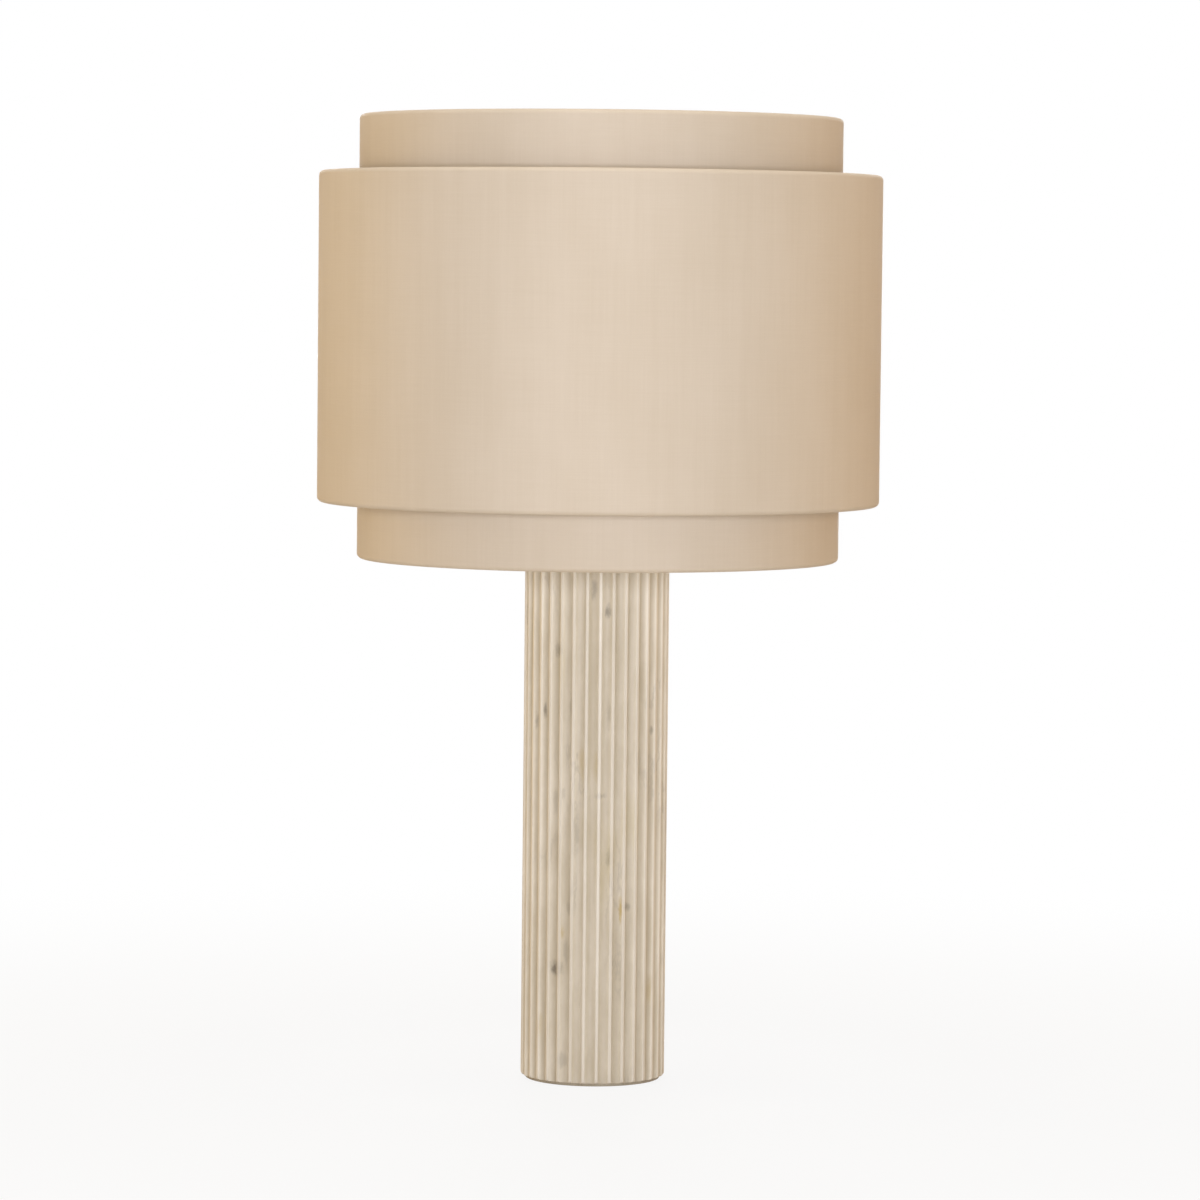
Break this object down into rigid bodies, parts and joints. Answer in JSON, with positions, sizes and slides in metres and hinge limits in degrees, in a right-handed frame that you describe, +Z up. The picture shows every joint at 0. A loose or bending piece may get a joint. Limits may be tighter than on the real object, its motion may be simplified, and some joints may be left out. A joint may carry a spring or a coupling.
{
  "type": "column table lamp",
  "caption": "Table lamp with a fluted stone column on a felt pad and a shade of two nested fabric drums on a wire frame, with a screw-base lampholder, shade ring and bulb.",
  "frame": {"origin": "middle of the foot, on the table", "axes": "+Z up along the column, +Y towards the back, where the cord leaves the foot"},
  "size_m": [0.3499, 0.35, 0.6],
  "materials": {
    "felt": "pressed wool felt",
    "marble": "honed cream marble with soft grey and ochre streaks",
    "bush_plastic": "moulded, satin",
    "steel": "zinc plated",
    "brass": "turned, satin",
    "phenolic": "moulded black phenolic",
    "porcelain": "unglazed white porcelain",
    "frame_wire": "white powder coat",
    "linen": "fine linen-look weave",
    "liner": "stiff satin sheet",
    "fibre": "vulcanised fibre",
    "solder": "solder",
    "dark_glass": "vitrified insulator",
    "bulb_cap": "nickel plated brass",
    "bulb_housing": "moulded, satin",
    "opal_globe": "opal, satin",
    "board": "white coated light board",
    "chip": "phosphor"
  },
  "bodies": {
    "base": {"base_pad": "felt", "marble_column": "marble", "cord_bush": "bush_plastic", "threaded_tube": "steel", "foot_washer": "steel", "foot_nut": "steel", "column_cap": "brass", "top_nut": "brass", "lampholder_dome": "phenolic", "lock_screw": "steel", "lampholder_core": "porcelain", "terminal_screws": "brass", "lampholder_skirt": "phenolic", "screw_shell": "brass", "centre_contact": "brass"},
    "shade": {"shade_hub": "frame_wire", "spider_arms": "frame_wire", "frame_struts": "frame_wire", "lower_spokes": "frame_wire", "upper_spokes": "frame_wire", "inner_lower_hoop": "frame_wire", "inner_upper_hoop": "frame_wire", "outer_lower_hoop": "frame_wire", "outer_upper_hoop": "frame_wire", "inner_linen": "linen", "inner_liner": "liner", "outer_linen": "linen", "outer_liner": "liner"},
    "ring_lift": {"ring_washer": "fibre"},
    "ring": {"shade_ring": "phenolic"},
    "bulb_lift": {"bulb_tip": "solder", "bulb_insulator": "dark_glass"},
    "bulb": {"bulb_screw_cap": "bulb_cap", "bulb_housing": "bulb_housing", "bulb_globe": "opal_globe", "light_board": "board", "light_chips": "chip"}
  },
  "joints": [
    {"name": "shade_turn", "type": "hinge", "parent": "base", "child": "shade", "pos_m": [0, 0, 0.39], "axis": [0, 0, 1], "continuous": true},
    {"name": "shade_ring_rise", "type": "slide", "parent": "base", "child": "ring_lift", "axis": [0, 0, 1], "range_m": [0, 0.01]},
    {"name": "shade_ring_turn", "type": "hinge", "parent": "ring_lift", "child": "ring", "pos_m": [0, 0, 0.3927], "axis": [0, 0, 1], "range_deg": [0, 1440]},
    {"name": "bulb_rise", "type": "slide", "parent": "base", "child": "bulb_lift", "axis": [0, 0, 1], "range_m": [0, 0.0145]},
    {"name": "bulb_turn", "type": "hinge", "parent": "bulb_lift", "child": "bulb", "pos_m": [0, 0, 0.391], "axis": [0, 0, 1], "range_deg": [0, 1440]}
  ],
  "couplings": [
    {"joint": "shade_ring_turn", "follows": "shade_ring_rise", "rad_per_m": 2513.3},
    {"joint": "bulb_turn", "follows": "bulb_rise", "rad_per_m": 1731.4}
  ]
}
